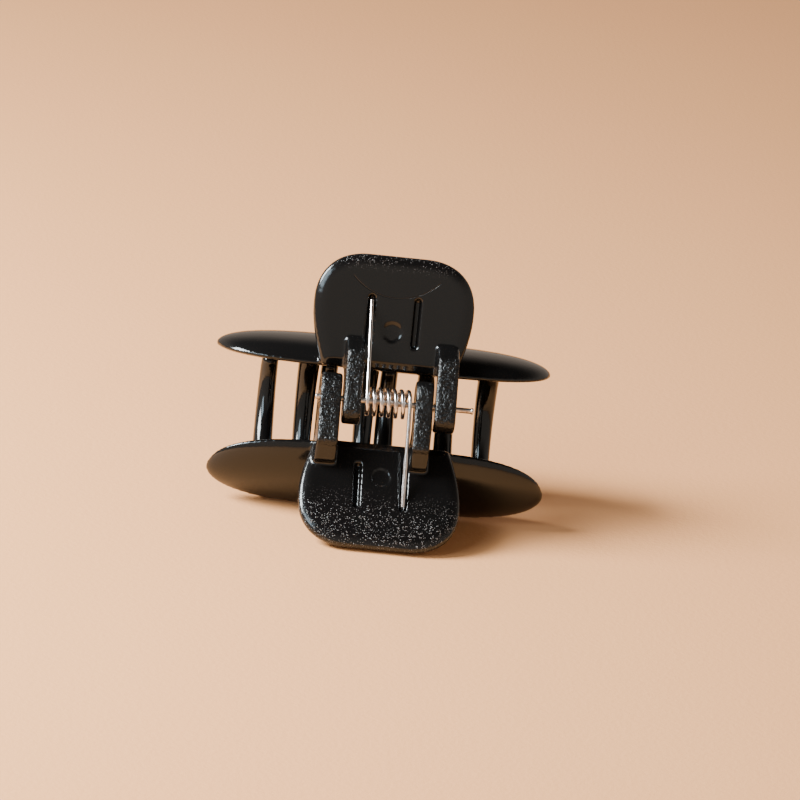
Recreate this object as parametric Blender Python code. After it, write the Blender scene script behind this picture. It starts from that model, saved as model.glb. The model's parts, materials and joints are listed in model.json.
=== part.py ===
"""Claw clip: two like moulded halves on a steel pin, closed by a torsion spring.

Each half is drawn about the pin, with the pin along X, the teeth towards +Y, the handle
towards +Z and the closed clip's middle plane at z = 0. The lower half is the same moulding
turned half a turn about Y. The clip is then laid down on its lower half, as it rests on a
table, on the handle's end and the back of the shell.
"""

import math

import bmesh
import bpy
from mathutils import Matrix, Vector

MM = 0.001

# Shell: a domed bar, hollow inside, whose sections shrink towards both ends.
SHELL_HALF_WIDTH = 31.0 * MM
SHELL_WALL = 2.0 * MM
HOLLOW_DROP = 5.0 * MM
SHELL_FRONT_Y = 4.4 * MM
SHELL_REAR_Y = 18.0 * MM
SHELL_FRONT_Z = 6.8 * MM
SHELL_REAR_Z = 10.2 * MM
SHELL_TOP_Z = 16.1 * MM
SHELL_END = Vector((0.0, 13.8 * MM, 11.6 * MM))
SHELL_ROUNDNESS = 1.75
SHELL_END_POWER = 4.0
SHELL_END_SCALE = 0.12
SHELL_STATIONS = 20
ARC_STEPS = 8

# Handle: a flat rounded tab that leans towards -Y.
HANDLE_ROOT_Y = 3.0 * MM
HANDLE_ROOT_Z = 6.6 * MM
HANDLE_LEAN = math.radians(14.0)
HANDLE_THICKNESS = 2.4 * MM
HANDLE_LENGTH = 21.0 * MM
HANDLE_ROOT_HALF_WIDTH = 12.2 * MM
HANDLE_HALF_WIDTH = 14.7 * MM
HANDLE_WIDEST_AT = 11.5 * MM
HANDLE_END_HALF_WIDTH = 5.0 * MM
HANDLE_CORNER_POWER = 2.3
HANDLE_SIDE_STEPS = 4
HANDLE_CORNER_STEPS = 8

# Grooves that take the spring's legs, one used and one spare in each half.
GROOVE_X = 4.2 * MM
GROOVE_WIDTH = 1.25 * MM
GROOVE_DEPTH = 1.0 * MM
GROOVE_START = 4.5 * MM
GROOVE_END = 13.6 * MM

# Lugs: the upper half's inner one stands at -X and its outer one at +X.
INNER_LUG = (4.9 * MM, 8.1 * MM)
OUTER_LUG = (8.5 * MM, 12.4 * MM)
LUG_RADIUS = 2.4 * MM
LUG_END_DROP = 2.2 * MM
LUG_END_STEPS = 8
LUG_FRONT_Z = 8.6 * MM
LUG_REAR_Y = 5.0 * MM
LUG_REAR_Z = (4.0 * MM, 7.4 * MM)
LUG_TOP_Y = (3.3 * MM, 0.2 * MM)
LUG_TOP_Z = 11.7 * MM

# Teeth: four round bars a half, which pass between those of the other half.
TOOTH_COUNT = 4
TOOTH_FIRST_X = -13.2 * MM
TOOTH_PITCH = 11.2 * MM
TOOTH_ROOT_RADIUS = 2.1 * MM
TOOTH_TIP_RADIUS = 1.6 * MM
TOOTH_CURVE = (
    Vector((0.0, 16.8, 13.2)) * MM,
    Vector((0.0, 23.5, 13.0)) * MM,
    Vector((0.0, 29.0, -2.5)) * MM,
    Vector((0.0, 22.4, -11.4)) * MM,
)
TOOTH_RINGS = 9
TOOTH_SIDES = 10

# Pin and the bores it runs in.
PIN_RADIUS = 0.5 * MM
PIN_LIP_RADIUS = 0.6 * MM
PIN_LEFT_X = -13.1 * MM
PIN_RIGHT_X = 15.7 * MM
PIN_LIP_LENGTH = 0.4 * MM
BORE_RADIUS = 0.6 * MM
BORE_SIDES = 16

# Torsion spring, with both legs leaving the coil's -Y side.
COIL_TURNS = 6
COIL_RADIUS = 2.37 * MM
COIL_HALF_LENGTH = 3.9 * MM
COIL_STEPS_PER_TURN = 14
WIRE_RADIUS = 0.37 * MM
LEG_DEPTH_IN_GROOVE = 0.25 * MM
LEG_REACH = 12.6 * MM

UPPER = Matrix.Identity(4)
LOWER = Matrix.Rotation(math.pi, 4, "Y")


def material(name, color, roughness, metallic):
    finish = bpy.data.materials.new(name)
    finish.use_nodes = True
    shader = finish.node_tree.nodes["Principled BSDF"]
    shader.inputs["Base Color"].default_value = (*color, 1.0)
    shader.inputs["Roughness"].default_value = roughness
    shader.inputs["Metallic"].default_value = metallic
    return finish


def add_object(name, data, holder, finish=None):
    """Link a piece or, with no finish, a guide, whose origin is on the pin's axis."""
    piece = bpy.data.objects.new(name, data)
    bpy.context.scene.collection.objects.link(piece)
    piece.parent = holder
    if finish is None:
        piece.hide_render = True
        piece.display_type = "WIRE"
    else:
        data.materials.append(finish)
    return piece


def finished_mesh(name, bm, turn):
    bmesh.ops.transform(bm, matrix=turn, verts=bm.verts)
    bmesh.ops.recalc_face_normals(bm, faces=bm.faces)
    mesh = bpy.data.meshes.new(name)
    bm.to_mesh(mesh)
    bm.free()
    mesh.shade_smooth()
    mesh.set_sharp_from_angle(angle=math.radians(35.0))
    return mesh


def loft(rings):
    """Join rings of points, each in order round its loop, into one closed solid."""
    bm = bmesh.new()
    loops = [[bm.verts.new(point) for point in ring] for ring in rings]
    bm.faces.new(loops[0])
    bm.faces.new(loops[-1])
    for near, far in zip(loops, loops[1:]):
        for i in range(len(near)):
            j = (i + 1) % len(near)
            bm.faces.new((near[i], near[j], far[j], far[i]))
    return bm


def extruded(outline, step):
    return loft([outline, [point + step for point in outline]])


def shell_section(inset, drop):
    """The shell's section, from its front edge over the dome and down its rear wall."""
    front = SHELL_FRONT_Y + inset
    rear = SHELL_REAR_Y - inset
    height = SHELL_TOP_Z - inset - SHELL_FRONT_Z
    points = []
    for i in range(ARC_STEPS + 1):
        angle = math.pi / 2 * i / ARC_STEPS
        along = 1.0 - math.cos(angle) ** (2.0 / SHELL_ROUNDNESS)
        up = math.sin(angle) ** (2.0 / SHELL_ROUNDNESS)
        points.append(Vector((0.0, front + (rear - front) * along, SHELL_FRONT_Z + height * up)))
    points.append(Vector((0.0, rear, SHELL_REAR_Z - drop)))
    if drop:
        points.append(Vector((0.0, front, SHELL_FRONT_Z - drop)))
    return points


def dome(half_width, section):
    """Run the section along X, shrinking it towards SHELL_END at both ends."""
    rings = []
    for i in range(SHELL_STATIONS + 1):
        station = -math.cos(math.pi * i / SHELL_STATIONS)
        scale = max(SHELL_END_SCALE, math.sqrt(1.0 - abs(station) ** SHELL_END_POWER))
        shift = Vector((half_width * station, 0.0, 0.0))
        rings.append([SHELL_END + (point - SHELL_END) * scale + shift for point in section])
    return loft(rings)


def handle_point(across, along, depth):
    """A point of the handle: across X, along from its root, depth behind its inner face."""
    lean_y = -math.sin(HANDLE_LEAN) * along + math.cos(HANDLE_LEAN) * depth
    lean_z = math.cos(HANDLE_LEAN) * along + math.sin(HANDLE_LEAN) * depth
    return Vector((across, HANDLE_ROOT_Y + lean_y, HANDLE_ROOT_Z + lean_z))


def handle_outline():
    """Half the outline from root to flat end, then its mirror image back to the root."""
    side = []
    for i in range(HANDLE_SIDE_STEPS):
        share = i / HANDLE_SIDE_STEPS
        swell = (HANDLE_HALF_WIDTH - HANDLE_ROOT_HALF_WIDTH) * math.sin(math.pi / 2 * share)
        side.append((HANDLE_ROOT_HALF_WIDTH + swell, HANDLE_WIDEST_AT * share))
    corner_width = HANDLE_HALF_WIDTH - HANDLE_END_HALF_WIDTH
    corner_height = HANDLE_LENGTH - HANDLE_WIDEST_AT
    for i in range(HANDLE_CORNER_STEPS + 1):
        angle = math.pi / 2 * i / HANDLE_CORNER_STEPS
        inward = math.cos(angle) ** (2.0 / HANDLE_CORNER_POWER)
        upward = math.sin(angle) ** (2.0 / HANDLE_CORNER_POWER)
        across = HANDLE_END_HALF_WIDTH + corner_width * inward
        side.append((across, HANDLE_WIDEST_AT + corner_height * upward))
    other = [(-across, along) for across, along in reversed(side)]
    return [handle_point(across, along, 0.0) for across, along in side + other]


def handle_depth(depth):
    return handle_point(0.0, 0.0, depth) - handle_point(0.0, 0.0, 0.0)


def handle():
    return extruded(handle_outline(), handle_depth(HANDLE_THICKNESS))


def groove(x):
    left = x - GROOVE_WIDTH / 2
    right = x + GROOVE_WIDTH / 2
    proud = -GROOVE_DEPTH
    outline = [
        handle_point(left, GROOVE_START, proud),
        handle_point(right, GROOVE_START, proud),
        handle_point(right, GROOVE_END, proud),
        handle_point(left, GROOVE_END, proud),
    ]
    return extruded(outline, handle_depth(2 * GROOVE_DEPTH))


def lug(left, right):
    """A flat bar from the handle's root past the pin, with a round end."""
    points = []
    for i in range(LUG_END_STEPS + 1):
        angle = math.pi * i / LUG_END_STEPS
        points.append((-LUG_RADIUS * math.cos(angle), -LUG_END_DROP - LUG_RADIUS * math.sin(angle)))
    points.append((LUG_RADIUS, LUG_REAR_Z[0]))
    points.append((LUG_REAR_Y, LUG_REAR_Z[1]))
    points.append((LUG_TOP_Y[0], LUG_TOP_Z))
    points.append((LUG_TOP_Y[1], LUG_TOP_Z))
    points.append((-LUG_RADIUS, LUG_FRONT_Z))
    outline = [Vector((left, y, z)) for y, z in points]
    return extruded(outline, Vector((right - left, 0.0, 0.0)))


def tooth(x):
    """A round bar on a Bezier curve in the plane square to the pin, with a domed tip."""
    a, b, c, d = TOOTH_CURVE
    rings = []
    for i in range(TOOTH_RINGS + 1):
        t = min(i / (TOOTH_RINGS - 1), 1.0)
        s = 1.0 - t
        centre = a * s**3 + b * (3 * s * s * t) + c * (3 * s * t * t) + d * t**3
        along = ((b - a) * (s * s) + (c - b) * (2 * s * t) + (d - c) * (t * t)).normalized()
        radius = TOOTH_ROOT_RADIUS + (TOOTH_TIP_RADIUS - TOOTH_ROOT_RADIUS) * t
        if i == TOOTH_RINGS:
            centre = centre + along * (0.7 * radius)
            radius = radius * 0.5
        across = Vector((1.0, 0.0, 0.0))
        upright = along.cross(across)
        ring = []
        for j in range(TOOTH_SIDES):
            angle = 2 * math.pi * j / TOOTH_SIDES
            offset = across * math.cos(angle) + upright * math.sin(angle)
            ring.append(centre + offset * radius + Vector((x, 0.0, 0.0)))
        rings.append(ring)
    return loft(rings)


def rod(stations, sides):
    """A turned rod along X, given as (x, radius) pairs."""
    rings = []
    for x, radius in stations:
        angles = [2 * math.pi * j / sides for j in range(sides)]
        rings.append([Vector((x, radius * math.cos(a), radius * math.sin(a))) for a in angles])
    return loft(rings)


def jaw(name, turn, holder, finish):
    """One moulded half: shell, handle, lugs and teeth as one body, bored for the pin."""
    shell = finished_mesh(name, dome(SHELL_HALF_WIDTH, shell_section(0.0, 0.0)), turn)
    half = add_object(name, shell, holder, finish)
    hollow = dome(SHELL_HALF_WIDTH - SHELL_WALL, shell_section(SHELL_WALL, HOLLOW_DROP))
    steps = [
        ("hollow", "DIFFERENCE", hollow),
        ("handle", "UNION", handle()),
        ("inner_lug", "UNION", lug(-INNER_LUG[1], -INNER_LUG[0])),
        ("outer_lug", "UNION", lug(OUTER_LUG[0], OUTER_LUG[1])),
    ]
    for i in range(TOOTH_COUNT):
        steps.append((f"tooth_{i + 1}", "UNION", tooth(TOOTH_FIRST_X + TOOTH_PITCH * i)))
    steps.append(("groove_left", "DIFFERENCE", groove(-GROOVE_X)))
    steps.append(("groove_right", "DIFFERENCE", groove(GROOVE_X)))
    bore_end = OUTER_LUG[1] + 1.0 * MM
    bore = rod([(-bore_end, BORE_RADIUS), (bore_end, BORE_RADIUS)], BORE_SIDES)
    steps.append(("bore", "DIFFERENCE", bore))
    for label, operation, bm in steps:
        guide_name = f"{name}_{label}_guide"
        guide = add_object(guide_name, finished_mesh(guide_name, bm, turn), holder)
        cut = half.modifiers.new(label, "BOOLEAN")
        cut.operation = operation
        cut.solver = "EXACT"
        cut.object = guide
    return half


def hinge_pin(holder, finish):
    chamfer = 0.1 * MM
    lip_start = PIN_RIGHT_X - PIN_LIP_LENGTH
    stations = [
        (PIN_LEFT_X, PIN_RADIUS - chamfer),
        (PIN_LEFT_X + chamfer, PIN_RADIUS),
        (lip_start - chamfer, PIN_RADIUS),
        (lip_start, PIN_LIP_RADIUS),
        (PIN_RIGHT_X - chamfer, PIN_LIP_RADIUS),
        (PIN_RIGHT_X, PIN_LIP_RADIUS - chamfer),
    ]
    mesh = finished_mesh("hinge_pin", rod(stations, BORE_SIDES), UPPER)
    return add_object("hinge_pin", mesh, holder, finish)


def spring_route():
    """Points of the wire: upper leg, coil from -X to +X, lower leg."""
    leg_end = handle_point(-GROOVE_X, LEG_REACH, LEG_DEPTH_IN_GROOVE)
    points = [leg_end]
    steps = COIL_TURNS * COIL_STEPS_PER_TURN
    for i in range(steps + 1):
        angle = 2 * math.pi * COIL_TURNS * i / steps
        x = -COIL_HALF_LENGTH + 2 * COIL_HALF_LENGTH * i / steps
        points.append(Vector((x, -COIL_RADIUS * math.cos(angle), -COIL_RADIUS * math.sin(angle))))
    points.append(LOWER @ leg_end)
    return points


def torsion_spring(holder, finish):
    points = spring_route()
    wire = bpy.data.curves.new("torsion_spring", "CURVE")
    wire.dimensions = "3D"
    wire.bevel_depth = WIRE_RADIUS
    wire.bevel_resolution = 2
    wire.use_fill_caps = True
    spline = wire.splines.new("POLY")
    spline.points.add(len(points) - 1)
    for knot, point in zip(spline.points, points):
        knot.co = (*point, 1.0)
    return add_object("torsion_spring", wire, holder, finish)


def lay_down(holder, pieces):
    """Tilt the clip until handle end and shell both touch z = 0, middle over the origin."""
    bpy.context.view_layer.update()
    graph = bpy.context.evaluated_depsgraph_get()
    points = [v.co.copy() for piece in pieces for v in piece.evaluated_get(graph).to_mesh().vertices]
    low = 0.0
    high = math.radians(60.0)
    for _ in range(40):
        tilt = (low + high) / 2
        turn = Matrix.Rotation(-tilt, 3, "X")
        handle_low = min((turn @ p).z for p in points if p.y < SHELL_FRONT_Y)
        shell_low = min((turn @ p).z for p in points if p.y > SHELL_END.y)
        if handle_low < shell_low:
            low = tilt
        else:
            high = tilt
    turn = Matrix.Rotation(-tilt, 3, "X")
    placed = [turn @ p for p in points]
    middle_x = (max(p.x for p in placed) + min(p.x for p in placed)) / 2
    middle_y = (max(p.y for p in placed) + min(p.y for p in placed)) / 2
    holder.rotation_euler = (-tilt, 0.0, 0.0)
    holder.location = (-middle_x, -middle_y, -min(p.z for p in placed))


for leftover in list(bpy.data.objects):
    bpy.data.objects.remove(leftover)

plastic = material("black_plastic", (0.012, 0.011, 0.011), 0.2, 0.0)
plastic_lower = material("black_plastic_lower", (0.010, 0.010, 0.010), 0.24, 0.0)
pin_steel = material("pin_steel", (0.56, 0.54, 0.52), 0.3, 1.0)
spring_steel = material("spring_steel", (0.66, 0.66, 0.68), 0.22, 1.0)

hinge = bpy.data.objects.new("hinge_axis", None)
bpy.context.scene.collection.objects.link(hinge)

upper_jaw = jaw("upper_jaw", UPPER, hinge, plastic)
lower_jaw = jaw("lower_jaw", LOWER, hinge, plastic_lower)
pin = hinge_pin(hinge, pin_steel)
spring = torsion_spring(hinge, spring_steel)
lay_down(hinge, [upper_jaw, lower_jaw, pin, spring])
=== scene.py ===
import json
import math

import bmesh
import bpy
from mathutils import Matrix, Vector


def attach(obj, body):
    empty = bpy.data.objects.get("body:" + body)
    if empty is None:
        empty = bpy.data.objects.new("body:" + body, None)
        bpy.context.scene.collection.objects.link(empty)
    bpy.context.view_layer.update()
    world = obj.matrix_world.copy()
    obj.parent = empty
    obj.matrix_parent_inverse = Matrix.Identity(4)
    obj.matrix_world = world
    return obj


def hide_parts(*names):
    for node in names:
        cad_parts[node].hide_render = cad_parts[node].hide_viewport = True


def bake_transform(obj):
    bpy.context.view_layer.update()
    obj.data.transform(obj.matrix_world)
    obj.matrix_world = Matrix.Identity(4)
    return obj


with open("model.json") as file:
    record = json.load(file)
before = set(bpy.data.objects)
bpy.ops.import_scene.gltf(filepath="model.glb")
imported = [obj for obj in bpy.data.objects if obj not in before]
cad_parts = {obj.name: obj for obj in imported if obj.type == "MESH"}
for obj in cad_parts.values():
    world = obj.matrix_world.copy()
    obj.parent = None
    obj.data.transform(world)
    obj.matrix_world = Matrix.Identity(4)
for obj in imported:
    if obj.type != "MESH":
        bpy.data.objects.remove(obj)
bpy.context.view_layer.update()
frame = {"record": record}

# ---------------------------------------------------------------------------------------
# Camera. A long lens looks at the clip from its handle side, a little from above, turned
# slightly about its own axis so that the pin runs downhill to the right.
# ---------------------------------------------------------------------------------------
joint = frame["record"]["behaviour"]["joints"][0]
pin_place = Vector(joint["pos_m"])

aim = pin_place + Vector((0.0022, 0.0, 0.0008))
camera_distance = 0.80
camera_azimuth = math.radians(-5.5)
camera_elevation = math.radians(19.0)
camera_roll = math.radians(7.5)
view_width = 0.1445

back = Vector((
    math.sin(camera_azimuth) * math.cos(camera_elevation),
    -math.cos(camera_azimuth) * math.cos(camera_elevation),
    math.sin(camera_elevation),
))
lens = bpy.data.cameras.new("lens")
lens.sensor_width = 36.0
lens.lens = lens.sensor_width * camera_distance / view_width
lens.clip_start = 0.01
camera = bpy.data.objects.new("camera", lens)
bpy.context.scene.collection.objects.link(camera)
aimed = back.to_track_quat("Z", "Y").to_matrix().to_4x4()
stand_point = Matrix.Translation(aim + back * camera_distance)
camera.matrix_world = stand_point @ aimed @ Matrix.Rotation(camera_roll, 4, "Z")
bpy.context.scene.camera = camera

# ---------------------------------------------------------------------------------------
# Table and light. A matt peach paper sheet, a soft box high on the left, a weaker and
# cooler one in front of it, and a warm room with a dark ceiling.
# ---------------------------------------------------------------------------------------


class Value:
    """A shader socket that can be used in sums, so that sums read as sums."""

    def __init__(self, tree, socket):
        self.tree = tree
        self.socket = socket

    def _math(self, operation, *values):
        return self.tree.add("ShaderNodeMath", {"operation": operation}, *values)

    def __add__(self, other):
        return self._math("ADD", self, other)

    def __sub__(self, other):
        return self._math("SUBTRACT", self, other)

    def __mul__(self, other):
        return self._math("MULTIPLY", self, other)

    def __rsub__(self, other):
        return self._math("SUBTRACT", other, self)

    __radd__ = __add__
    __rmul__ = __mul__

    def power(self, exponent):
        return self._math("POWER", self, exponent)

    def distance(self, other):
        return self._math("ABSOLUTE", self - other)

    def ramp(self, low, high):
        """0 at low, 1 at high, smooth between them."""
        settings = {"interpolation_type": "SMOOTHSTEP"}
        return self.tree.add("ShaderNodeMapRange", settings, self, low, high, 0.0, 1.0)


class Finish:
    """The node tree of a material or of the room, in which every node is made by add."""

    def __init__(self, owner, shader="Principled BSDF"):
        owner.use_nodes = True
        self.material = owner
        self.nodes = owner.node_tree.nodes
        self.links = owner.node_tree.links
        self.shader = self.nodes[shader]

    def add(self, kind, settings, *values, output=0, **named):
        node = self.nodes.new(kind)
        for setting, value in settings.items():
            setattr(node, setting, value)
        for key, value in list(enumerate(values)) + list(named.items()):
            socket = node.inputs[key.replace("_", " ") if isinstance(key, str) else key]
            self.feed(socket, value)
        return Value(self, node.outputs[output])

    def feed(self, socket, value):
        if isinstance(value, Value):
            self.links.new(value.socket, socket)
        elif value is not None:
            socket.default_value = value

    def set(self, **named):
        for key, value in named.items():
            self.feed(self.shader.inputs[key.replace("_", " ")], value)

    def place(self, location=(0.0, 0.0, 0.0), rotation=(0.0, 0.0, 0.0), scale=(1.0, 1.0, 1.0)):
        """Object coordinates, moved, turned and scaled."""
        coordinates = self.add("ShaderNodeTexCoord", {}, output="Object")
        settings = {"vector_type": "TEXTURE"}
        return self.add("ShaderNodeMapping", settings, coordinates, location, rotation, scale)

    def noise(self, where, scale, detail=2.0, rough=0.5):
        settings = {"noise_dimensions": "3D"}
        look = {"Scale": scale, "Detail": detail, "Roughness": rough}
        return self.add("ShaderNodeTexNoise", settings, Vector=where, **look)

    def blend(self, share, first, second):
        settings = {"data_type": "RGBA"}
        node = self.add("ShaderNodeMix", settings, output=2).socket.node
        self.feed(node.inputs[0], share)
        self.feed(node.inputs[6], first)
        self.feed(node.inputs[7], second)
        return Value(self, node.outputs[2])

    def bump(self, height, depth):
        self.set(Normal=self.add("ShaderNodeBump", {}, Strength=1.0, Distance=depth, Height=height))


paper = Finish(bpy.data.materials.new("peach_paper"))
where = paper.place()
grain = paper.noise(where, 900.0, 4.0, 0.6)
cloud = paper.noise(where, 6.0, 2.0)
paper.set(
    Base_Color=paper.blend(cloud, (0.92, 0.445, 0.185, 1.0), (0.94, 0.48, 0.21, 1.0)),
    Roughness=0.62 + 0.2 * grain,
)
paper.bump(grain, 0.00008)
floor_mesh = bmesh.new()
bmesh.ops.create_grid(floor_mesh, x_segments=2, y_segments=2, size=6.0)
floor_data = bpy.data.meshes.new("table")
floor_mesh.to_mesh(floor_data)
floor_mesh.free()
floor_data.materials.append(paper.material)
table = bpy.data.objects.new("table", floor_data)
bpy.context.scene.collection.objects.link(table)


def soft_box(name, place, size, watts, color):
    box = bpy.data.lights.new(name, "AREA")
    box.shape = "RECTANGLE"
    box.size, box.size_y = size
    box.energy = watts
    box.color = color
    stand = bpy.data.objects.new(name, box)
    bpy.context.scene.collection.objects.link(stand)
    place = Vector(place)
    stand.matrix_world = Matrix.Translation(place) @ place.to_track_quat("Z", "Y").to_matrix().to_4x4()


soft_box("key_light", (-0.46, -0.06, 0.38), (0.26, 0.26), 12.5, (1.0, 0.97, 0.93))
soft_box("fill_light", (-0.42, -0.40, 0.42), (0.24, 0.24), 1.8, (0.84, 0.94, 1.0))
room = bpy.data.worlds.new("room")
air = Finish(room, "Background")
direction = air.add("ShaderNodeSeparateXYZ", {}, air.add("ShaderNodeTexCoord", {}, output="Generated"))
upward = Value(air, direction.socket.node.outputs["Z"])
away = Value(air, direction.socket.node.outputs["Y"])
air.set(
    Color=(1.0, 0.80, 0.65, 1.0),
    Strength=0.03 + (0.66 + 0.04 * away) * (1.0 - upward.ramp(0.40, 0.85)),
)
bpy.context.scene.world = room

# ---------------------------------------------------------------------------------------
# The two halves. Each is one injection moulding in gloss black plastic: a domed shell, a
# flat handle, two lugs bored for the pin and four round teeth. Both come out of the same
# mould, and one is turned half a turn. They are drawn in millimetres about the pin.
# ---------------------------------------------------------------------------------------
shell_half_width = 31.0
shell_wall = 2.0
shell_front = Vector((0.0, 4.4, 6.8))
shell_rear = Vector((0.0, 18.0, 10.2))
shell_top = 16.1
shell_end = Vector((0.0, 13.8, 11.6))
shell_roundness = 1.75
shell_end_scale = 0.12
shell_rim_radius = 0.8
hollow_drop = 5.0
handle_root = Vector((0.0, 3.0, 6.6))
handle_lean = math.radians(14.0)
handle_thickness = 2.4
handle_length = 21.0
handle_root_half_width = 12.2
handle_half_width = 14.7
handle_widest_at = 11.5
handle_end_half_width = 5.0
handle_corner_power = 2.3
handle_crown = 0.35
groove_x = 4.2
groove_half_width = 0.62
groove_start = 4.5
groove_end = 13.0
groove_depth = 1.0
mark_along = 7.2
mark_radius = 1.85
mark_depth = 0.30
inner_lug = (-8.1, -4.9)
outer_lug = (8.5, 12.4)
lug_radius = 2.4
lug_end_drop = 2.2
bore_radius = 0.62
bore_reach = 14.0
tooth_count = 4
tooth_first = -13.2
tooth_pitch = 11.2
tooth_root_radius = 2.1
tooth_tip_radius = 1.6
tooth_curve = [Vector((0.0, y, z)) for y, z in ((16.8, 13.2), (23.5, 13.0), (29.0, -2.5), (22.4, -11.4))]

upper_end = next(m for m in frame["record"]["mounts"] if m["name"] == "upper_handle_end")
rest_tilt = handle_lean + math.atan2(upper_end["axis"][1], upper_end["axis"][2])
laid_down = Matrix.Translation(pin_place) @ Matrix.Rotation(-rest_tilt, 4, "X") @ Matrix.Scale(0.001, 4)
half_turn = Matrix.Rotation(math.pi, 4, "Y")


def loft(rings):
    """A closed solid through rings of points, each bridged to the next and the ends filled."""
    bm = bmesh.new()
    loops = []
    for ring in rings:
        corners = [bm.verts.new(point) for point in ring]
        loops.append([bm.edges.new((corners[i - 1], corners[i])) for i in range(len(corners))])
    for near, far in zip(loops, loops[1:]):
        bmesh.ops.bridge_loops(bm, edges=near + far)
    bmesh.ops.edgeloop_fill(bm, edges=loops[0])
    bmesh.ops.edgeloop_fill(bm, edges=loops[-1])
    bmesh.ops.recalc_face_normals(bm, faces=bm.faces)
    return bm


def push_out(outline, step):
    """A flat outline made a slab."""
    bm = bmesh.new()
    face = bm.faces.new([bm.verts.new(point) for point in outline])
    pushed = bmesh.ops.extrude_face_region(bm, geom=[face])["geom"]
    bmesh.ops.translate(bm, verts=[v for v in pushed if isinstance(v, bmesh.types.BMVert)], vec=step)
    bmesh.ops.recalc_face_normals(bm, faces=bm.faces)
    return bm


def round_rims(bm, width, steps):
    """Round the sharp rims of a slab."""
    rims = [edge for edge in bm.edges if edge.calc_face_angle(0.0) > math.radians(50.0)]
    bmesh.ops.bevel(
        bm, geom=rims, offset=width, segments=steps, profile=0.5,
        affect="EDGES", clamp_overlap=True, material=-1,
    )
    return bm


def shell_section(inset, drop):
    points = []
    steps = 22
    for i in range(steps + 1):
        angle = math.pi / 2 * i / steps
        along = 1.0 - math.cos(angle) ** (2.0 / shell_roundness)
        up = math.sin(angle) ** (2.0 / shell_roundness)
        y = shell_front.y + inset + (shell_rear.y - shell_front.y - 2 * inset) * along
        points.append(Vector((0.0, y, shell_front.z + (shell_top - inset - shell_front.z) * up)))
    points.append(Vector((0.0, shell_rear.y - inset, shell_rear.z - drop)))
    if drop:
        points.append(Vector((0.0, shell_front.y + inset, shell_front.z - drop)))
    return points


def eased(points, radius):
    """The same outline with its first and last corners rounded."""
    round_points = []
    for i, corner in enumerate(points):
        if 0 < i < len(points) - 1:
            round_points.append(corner)
            continue
        before = corner + (points[i - 1] - corner).normalized() * radius
        after = corner + (points[(i + 1) % len(points)] - corner).normalized() * radius
        for j in range(6):
            t = j / 5
            round_points.append(before * (1 - t) ** 2 + corner * (2 * t * (1 - t)) + after * t * t)
    return round_points


def dome(half_width, section):
    rings = []
    stations = 56
    for i in range(stations + 1):
        station = -math.cos(math.pi * i / stations)
        scale = max(shell_end_scale, math.sqrt(1.0 - abs(station) ** 4))
        shift = Vector((half_width * station, 0.0, 0.0))
        rings.append([shell_end + (point - shell_end) * scale + shift for point in section])
    return loft(rings)


def on_handle(across, along, depth):
    """A point of the handle: across it, along it from its root, and behind its inner face."""
    y = -math.sin(handle_lean) * along + math.cos(handle_lean) * depth
    z = math.cos(handle_lean) * along + math.sin(handle_lean) * depth
    return handle_root + Vector((across, y, z))


def handle_outline():
    side = []
    for i in range(10):
        share = i / 10
        bulge = (handle_half_width - handle_root_half_width) * math.sin(math.pi / 2 * share)
        side.append((handle_root_half_width + bulge, handle_widest_at * share))
    for i in range(25):
        angle = math.pi / 2 * i / 24
        power = 2.0 / handle_corner_power
        corner = (handle_half_width - handle_end_half_width) * math.cos(angle) ** power
        rise = (handle_length - handle_widest_at) * math.sin(angle) ** power
        side.append((handle_end_half_width + corner, handle_widest_at + rise))
    return side + [(-across, along) for across, along in reversed(side)]


def handle():
    """A slab with rolled rims, whose inner face rises a little towards its flat middle."""
    outline = [on_handle(across, along, handle_crown) for across, along in handle_outline()]
    bm = push_out(outline, on_handle(0.0, 0.0, handle_thickness - handle_crown) - on_handle(0.0, 0.0, 0.0))
    round_rims(bm, 0.85, 5)
    inner = max(bm.faces, key=lambda face: face.calc_area() * -face.normal.y)
    bmesh.ops.inset_region(bm, faces=[inner], thickness=0.5, depth=0.21, use_even_offset=False)
    bmesh.ops.inset_region(bm, faces=[inner], thickness=0.9, depth=0.14, use_even_offset=False)
    return bm


def groove(x):
    """A slot with a round far end, where a leg of the spring lies."""
    outline = [(x - groove_half_width, groove_start), (x + groove_half_width, groove_start)]
    for i in range(9):
        angle = math.pi * i / 8
        across = x + groove_half_width * math.cos(angle)
        outline.append((across, groove_end + groove_half_width * math.sin(angle)))
    points = [on_handle(across, along, -groove_depth) for across, along in outline]
    return push_out(points, on_handle(0.0, 0.0, 2 * groove_depth) - on_handle(0.0, 0.0, 0.0))


def disc(across, along, radius, depth):
    """A round, shallow cut: the mark that an ejector pin leaves."""
    points = []
    for i in range(40):
        angle = 2 * math.pi * i / 40
        points.append(on_handle(across + radius * math.cos(angle), along + radius * math.sin(angle), -1.0))
    return push_out(points, on_handle(0.0, 0.0, 1.0 + depth) - on_handle(0.0, 0.0, 0.0))


def lug(left, right):
    points = []
    for i in range(17):
        angle = math.pi * i / 16
        points.append((-lug_radius * math.cos(angle), -lug_end_drop - lug_radius * math.sin(angle)))
    points += [(lug_radius, 4.0), (5.0, 7.4), (3.3, 11.7), (0.2, 11.7), (-lug_radius, 8.6)]
    bm = push_out([Vector((left, y, z)) for y, z in points], Vector((right - left, 0.0, 0.0)))
    return round_rims(bm, 0.3, 2)


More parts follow.
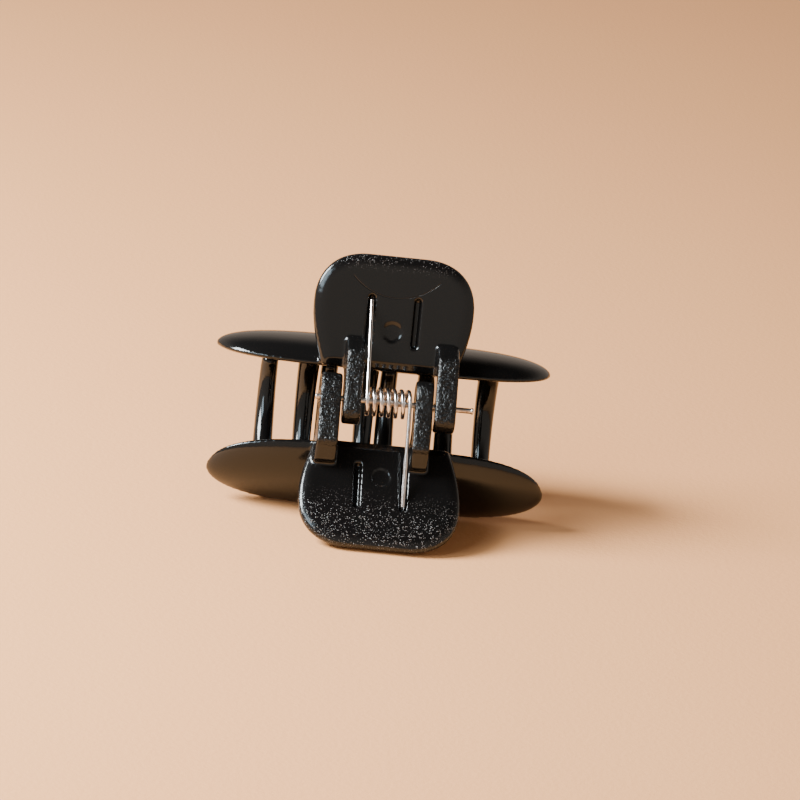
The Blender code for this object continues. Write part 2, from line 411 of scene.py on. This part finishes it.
def tooth(x):
    """A round bar on a curve, thick at its root, with a domed tip."""
    a, b, c, d = tooth_curve
    rings = []
    for i in range(41):
        t = min(i / 34, 1.0)
        s = 1.0 - t
        centre = a * s**3 + b * (3 * s * s * t) + c * (3 * s * t * t) + d * t**3
        along = ((b - a) * (s * s) + (c - b) * (2 * s * t) + (d - c) * (t * t)).normalized()
        radius = tooth_root_radius - (tooth_root_radius - tooth_tip_radius) * t
        if i > 34:
            lift = math.pi / 2 * (i - 34) / 6.5
            centre = centre + along * (radius * 0.8 * math.sin(lift))
            radius = radius * math.cos(lift)
        upright = along.cross(Vector((1.0, 0.0, 0.0)))
        ring = []
        for j in range(28):
            angle = 2 * math.pi * j / 28
            offset = Vector((math.cos(angle), 0.0, 0.0)) + upright * math.sin(angle)
            ring.append(centre + offset * radius + Vector((x, 0.0, 0.0)))
        rings.append(ring)
    return loft(rings)


def bore(length, radius):
    bm = bmesh.new()
    bmesh.ops.create_cone(bm, cap_ends=True, segments=40, radius1=radius, radius2=radius, depth=2 * length)
    bmesh.ops.rotate(bm, verts=bm.verts, matrix=Matrix.Rotation(math.pi / 2, 3, "Y"))
    return bm


def loose_object(name, bm):
    mesh = bpy.data.meshes.new(name)
    bm.to_mesh(mesh)
    bm.free()
    piece = bpy.data.objects.new(name, mesh)
    bpy.context.scene.collection.objects.link(piece)
    return piece


def carve(solid, *cutters):
    """The solid with every cutter taken out of it, as a mesh."""
    body = loose_object("solid", solid)
    tools = [loose_object("cutter", cutter) for cutter in cutters]
    for tool in tools:
        cut = body.modifiers.new("cut", "BOOLEAN")
        cut.operation = "DIFFERENCE"
        cut.solver = "EXACT"
        cut.object = tool
    mesh = bpy.data.meshes.new_from_object(body.evaluated_get(bpy.context.evaluated_depsgraph_get()))
    for piece in tools + [body]:
        bpy.data.objects.remove(piece)
    return mesh


def moulding():
    """Shell, handle, lugs and teeth, carved, run together and their corners melted a little."""
    shell = dome(shell_half_width, eased(shell_section(0.0, 0.0), shell_rim_radius))
    parts = [carve(shell, dome(shell_half_width - shell_wall, shell_section(shell_wall, hollow_drop)))]
    mark = disc(0.0, mark_along, mark_radius, mark_depth)
    parts += [carve(handle(), groove(-groove_x), groove(groove_x), mark)]
    web = [Vector((-11.5, y, z)) for y, z in ((3.4, 6.9), (4.6, 6.9), (6.2, 7.3), (6.2, 9.0), (3.4, 9.0))]
    parts += [carve(push_out(web, Vector((23.0, 0.0, 0.0))))]
    parts += [carve(lug(*sides), bore(bore_reach, bore_radius)) for sides in (inner_lug, outer_lug)]
    parts += [carve(tooth(tooth_first + tooth_pitch * i)) for i in range(tooth_count)]
    together = bmesh.new()
    for part in parts:
        together.from_mesh(part)
        bpy.data.meshes.remove(part)
    body = loose_object("moulding", together)
    skin = body.modifiers.new("skin", "REMESH")
    skin.mode = "VOXEL"
    skin.voxel_size = 0.275
    melt = body.modifiers.new("melt", "SMOOTH")
    melt.factor = 0.5
    melt.iterations = 7
    mesh = bpy.data.meshes.new_from_object(body.evaluated_get(bpy.context.evaluated_depsgraph_get()))
    bpy.data.objects.remove(body)
    return mesh


def black_plastic(name, pit_and_painted_glint_from, pit_and_painted_glint_to, pit_and_painted_glint_share, seam_share):
    """Gloss black with a skin like orange peel, crinkled lugs, and pale specks towards the handle's end.
    The specks are pits in the bump and roughness, and painted glints of light in their grey colour.
    """
    finish = Finish(bpy.data.materials.new(name))
    place = finish.place(location=pin_place, rotation=(-rest_tilt, 0.0, 0.0))
    axes = finish.add("ShaderNodeSeparateXYZ", {}, place)
    height = Value(finish, axes.socket.node.outputs["Z"])
    depth = Value(finish, axes.socket.node.outputs["Y"])
    peel = finish.noise(place, 420.0, 2.0)
    waves = finish.noise(place, 110.0, 1.0)
    cells = finish.add("ShaderNodeTexVoronoi", {"feature": "F1"}, Vector=place, Scale=3200.0)
    pit_and_painted_glint_dots = 1.0 - cells.ramp(0.16, 0.40)
    patches = finish.noise(place, 1500.0, 3.0, 0.7).ramp(0.42, 0.58)
    forward = (depth - 0.001 * handle_root.y) * math.cos(handle_lean)
    behind = forward + (height.distance(0.0) - 0.001 * handle_root.z) * math.sin(handle_lean)
    # Pale grey specks near the handle's end: their grey colour is painted glints of light on the
    # orange-peel skin, and their bump and roughness make them pits.
    pit_and_painted_glint_area = height.ramp(pit_and_painted_glint_from, pit_and_painted_glint_to) * behind.ramp(0.0017, 0.0011) * patches
    pits_and_painted_glints = pit_and_painted_glint_dots * pit_and_painted_glint_area * pit_and_painted_glint_share
    lug_front = depth.ramp(-0.0012, -0.0022) * (1.0 - height.distance(0.0).ramp(0.0085, 0.0100))
    crinkle = finish.noise(place, 1100.0, 3.0, 0.7) * lug_front
    smudge = finish.noise(place, 60.0, 3.0).ramp(0.45, 0.75)
    across = Value(finish, axes.socket.node.outputs["X"])
    reach = (across.power(2.0) + (height - 0.0305).power(2.0)).power(0.5)
    on_arc = 1.0 - reach.distance(0.011).ramp(0.00004, 0.00013)
    between_ends = 1.0 - across.distance(0.0).ramp(0.0070, 0.0085)
    seam = on_arc * between_ends * depth.ramp(0.0010, 0.0) * seam_share
    finish.set(
        Base_Color=finish.blend(pits_and_painted_glints, (0.0042, 0.0042, 0.0044, 1.0), (0.17, 0.168, 0.17, 1.0)),
        Roughness=0.11 + 0.07 * smudge + 0.30 * pits_and_painted_glints + 0.10 * lug_front + 0.4 * seam,
        Specular_IOR_Level=0.5,
        Specular_Tint=(0.82, 0.93, 1.0, 1.0),
    )
    relief = 0.35 * peel + 0.8 * waves + 6.5 * crinkle + 0.9 * pits_and_painted_glints - 2.0 * seam
    finish.bump(relief, 0.00006)
    return finish.material


half = moulding()
# Where the pale specks go on each half: painted glints of light in the colour, pits in the bump and
# roughness.
upper_pits_and_painted_glints = (0.0235, 0.0265, 0.7, 0.6)
lower_pits_and_painted_glints = (-0.0150, -0.0230, 1.0, 0.0)
halves = {
    "upper_jaw_moulding": (Matrix.Identity(4), "upper_jaw", "upper_half", "upper_plastic", upper_pits_and_painted_glints),
    "lower_jaw_moulding": (half_turn, "lower_jaw", "lower_half", "lower_plastic", lower_pits_and_painted_glints),
}
for name, (turn, node, body, slot, pits_and_painted_glints) in halves.items():
    mesh = half.copy()
    mesh.name = name
    mesh.transform(laid_down @ turn)
    mesh.shade_smooth()
    mesh.materials.append(black_plastic(name + "_gloss", *pits_and_painted_glints))
    jaw = bpy.data.objects.new(name, mesh)
    bpy.context.scene.collection.objects.link(jaw)
    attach(jaw, body)
    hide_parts(node)
bpy.data.meshes.remove(half)

# ---------------------------------------------------------------------------------------
# Hinge pin. A length of drawn steel rod with a slightly upset end, pushed through the four
# lugs from the right. It sits in the lower half and the upper half turns on it.
# ---------------------------------------------------------------------------------------


def pin_profile():
    """Distance along the pin and radius, in millimetres."""
    points = [(-13.1, 0.0), (-13.1, 0.40), (-13.03, 0.47), (-12.9, 0.50)]
    points += [(-12.9 + 28.1 * i / 20, 0.50) for i in range(1, 21)]
    points += [(15.28, 0.53), (15.34, 0.59), (15.45, 0.60), (15.58, 0.58)]
    points += [(15.68, 0.50), (15.7, 0.38), (15.7, 0.0)]
    return points


turned = bmesh.new()
corners = [turned.verts.new((x, 0.0, radius)) for x, radius in pin_profile()]
wire = [turned.edges.new(pair) for pair in zip(corners, corners[1:])]
bmesh.ops.spin(
    turned, geom=corners + wire, cent=(0, 0, 0), axis=(1, 0, 0), angle=2 * math.pi, steps=40, use_merge=True
)
bmesh.ops.remove_doubles(turned, verts=turned.verts, dist=0.0001)
bmesh.ops.recalc_face_normals(turned, faces=turned.faces)
pin = loose_object("drawn_steel_pin", turned)
pin.data.transform(laid_down)
pin.data.shade_smooth()

drawn = Finish(bpy.data.materials.new("drawn_steel"))
place = drawn.place(location=pin_place, rotation=(-rest_tilt, 0.0, 0.0), scale=(20.0, 1.0, 1.0))
lines = drawn.noise(place, 9000.0, 3.0, 0.6)
stain = drawn.noise(drawn.place(), 500.0, 3.0).ramp(0.45, 0.75)
drawn.set(
    Base_Color=drawn.blend(stain, (0.58, 0.55, 0.53, 1.0), (0.30, 0.25, 0.21, 1.0)),
    Metallic=1.0,
    Roughness=0.22 + 0.16 * lines + 0.15 * stain,
)
drawn.bump(lines, 0.00001)
pin.data.materials.append(drawn.material)
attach(pin, "lower_half")
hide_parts("hinge_pin")

# ---------------------------------------------------------------------------------------
# Torsion spring. Bright spring wire wound six turns round the pin. Its upper leg lies in a
# groove of the upper handle and its lower leg in one of the lower handle, so the coil winds
# up as the handles are squeezed.
# ---------------------------------------------------------------------------------------
coil_radius = 2.37
coil_half_length = 3.9
coil_turns = 6
wire_radius = 0.37


def spring_route():
    leg_end = on_handle(-groove_x, 12.6, 0.25)
    start = Vector((-coil_half_length, -coil_radius, 0.0))
    leg = [leg_end.lerp(start, i / 24) for i in range(24)]
    coil = []
    steps = coil_turns * 40
    for i in range(steps + 1):
        angle = 2 * math.pi * coil_turns * i / steps
        x = -coil_half_length + 2 * coil_half_length * i / steps
        coil.append(Vector((x, -coil_radius * math.cos(angle), -coil_radius * math.sin(angle))))
    return leg + coil + [half_turn @ point for point in reversed(leg)]


strand = bpy.data.curves.new("strand", "CURVE")
strand.dimensions = "3D"
strand.bevel_depth = wire_radius
strand.bevel_resolution = 6
strand.use_fill_caps = True
route = spring_route()
line = strand.splines.new("POLY")
line.points.add(len(route) - 1)
for knot, point in zip(line.points, route):
    knot.co = (*point, 1.0)
strand_object = bpy.data.objects.new("strand", strand)
bpy.context.scene.collection.objects.link(strand_object)
drawn_strand = strand_object.evaluated_get(bpy.context.evaluated_depsgraph_get())
spring_mesh = bpy.data.meshes.new_from_object(drawn_strand)
bpy.data.objects.remove(strand_object)
spring_mesh.name = "torsion_spring_wire"
spring_mesh.transform(laid_down)
spring_mesh.shade_smooth()
spring_mesh.set_sharp_from_angle(angle=math.radians(60.0))
spring = bpy.data.objects.new("torsion_spring_wire", spring_mesh)
bpy.context.scene.collection.objects.link(spring)

bright = Finish(bpy.data.materials.new("bright_spring_wire"))
where = bright.place()
marks = bright.noise(where, 2600.0, 3.0, 0.6)
dull = bright.noise(where, 420.0, 2.0).ramp(0.45, 0.7)
bright.set(
    Base_Color=bright.blend(dull, (0.72, 0.72, 0.74, 1.0), (0.50, 0.47, 0.45, 1.0)),
    Metallic=1.0,
    Roughness=0.14 + 0.10 * marks + 0.08 * dull,
)
bright.bump(marks, 0.000006)
spring.data.materials.append(bright.material)
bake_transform(spring)
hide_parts("torsion_spring")
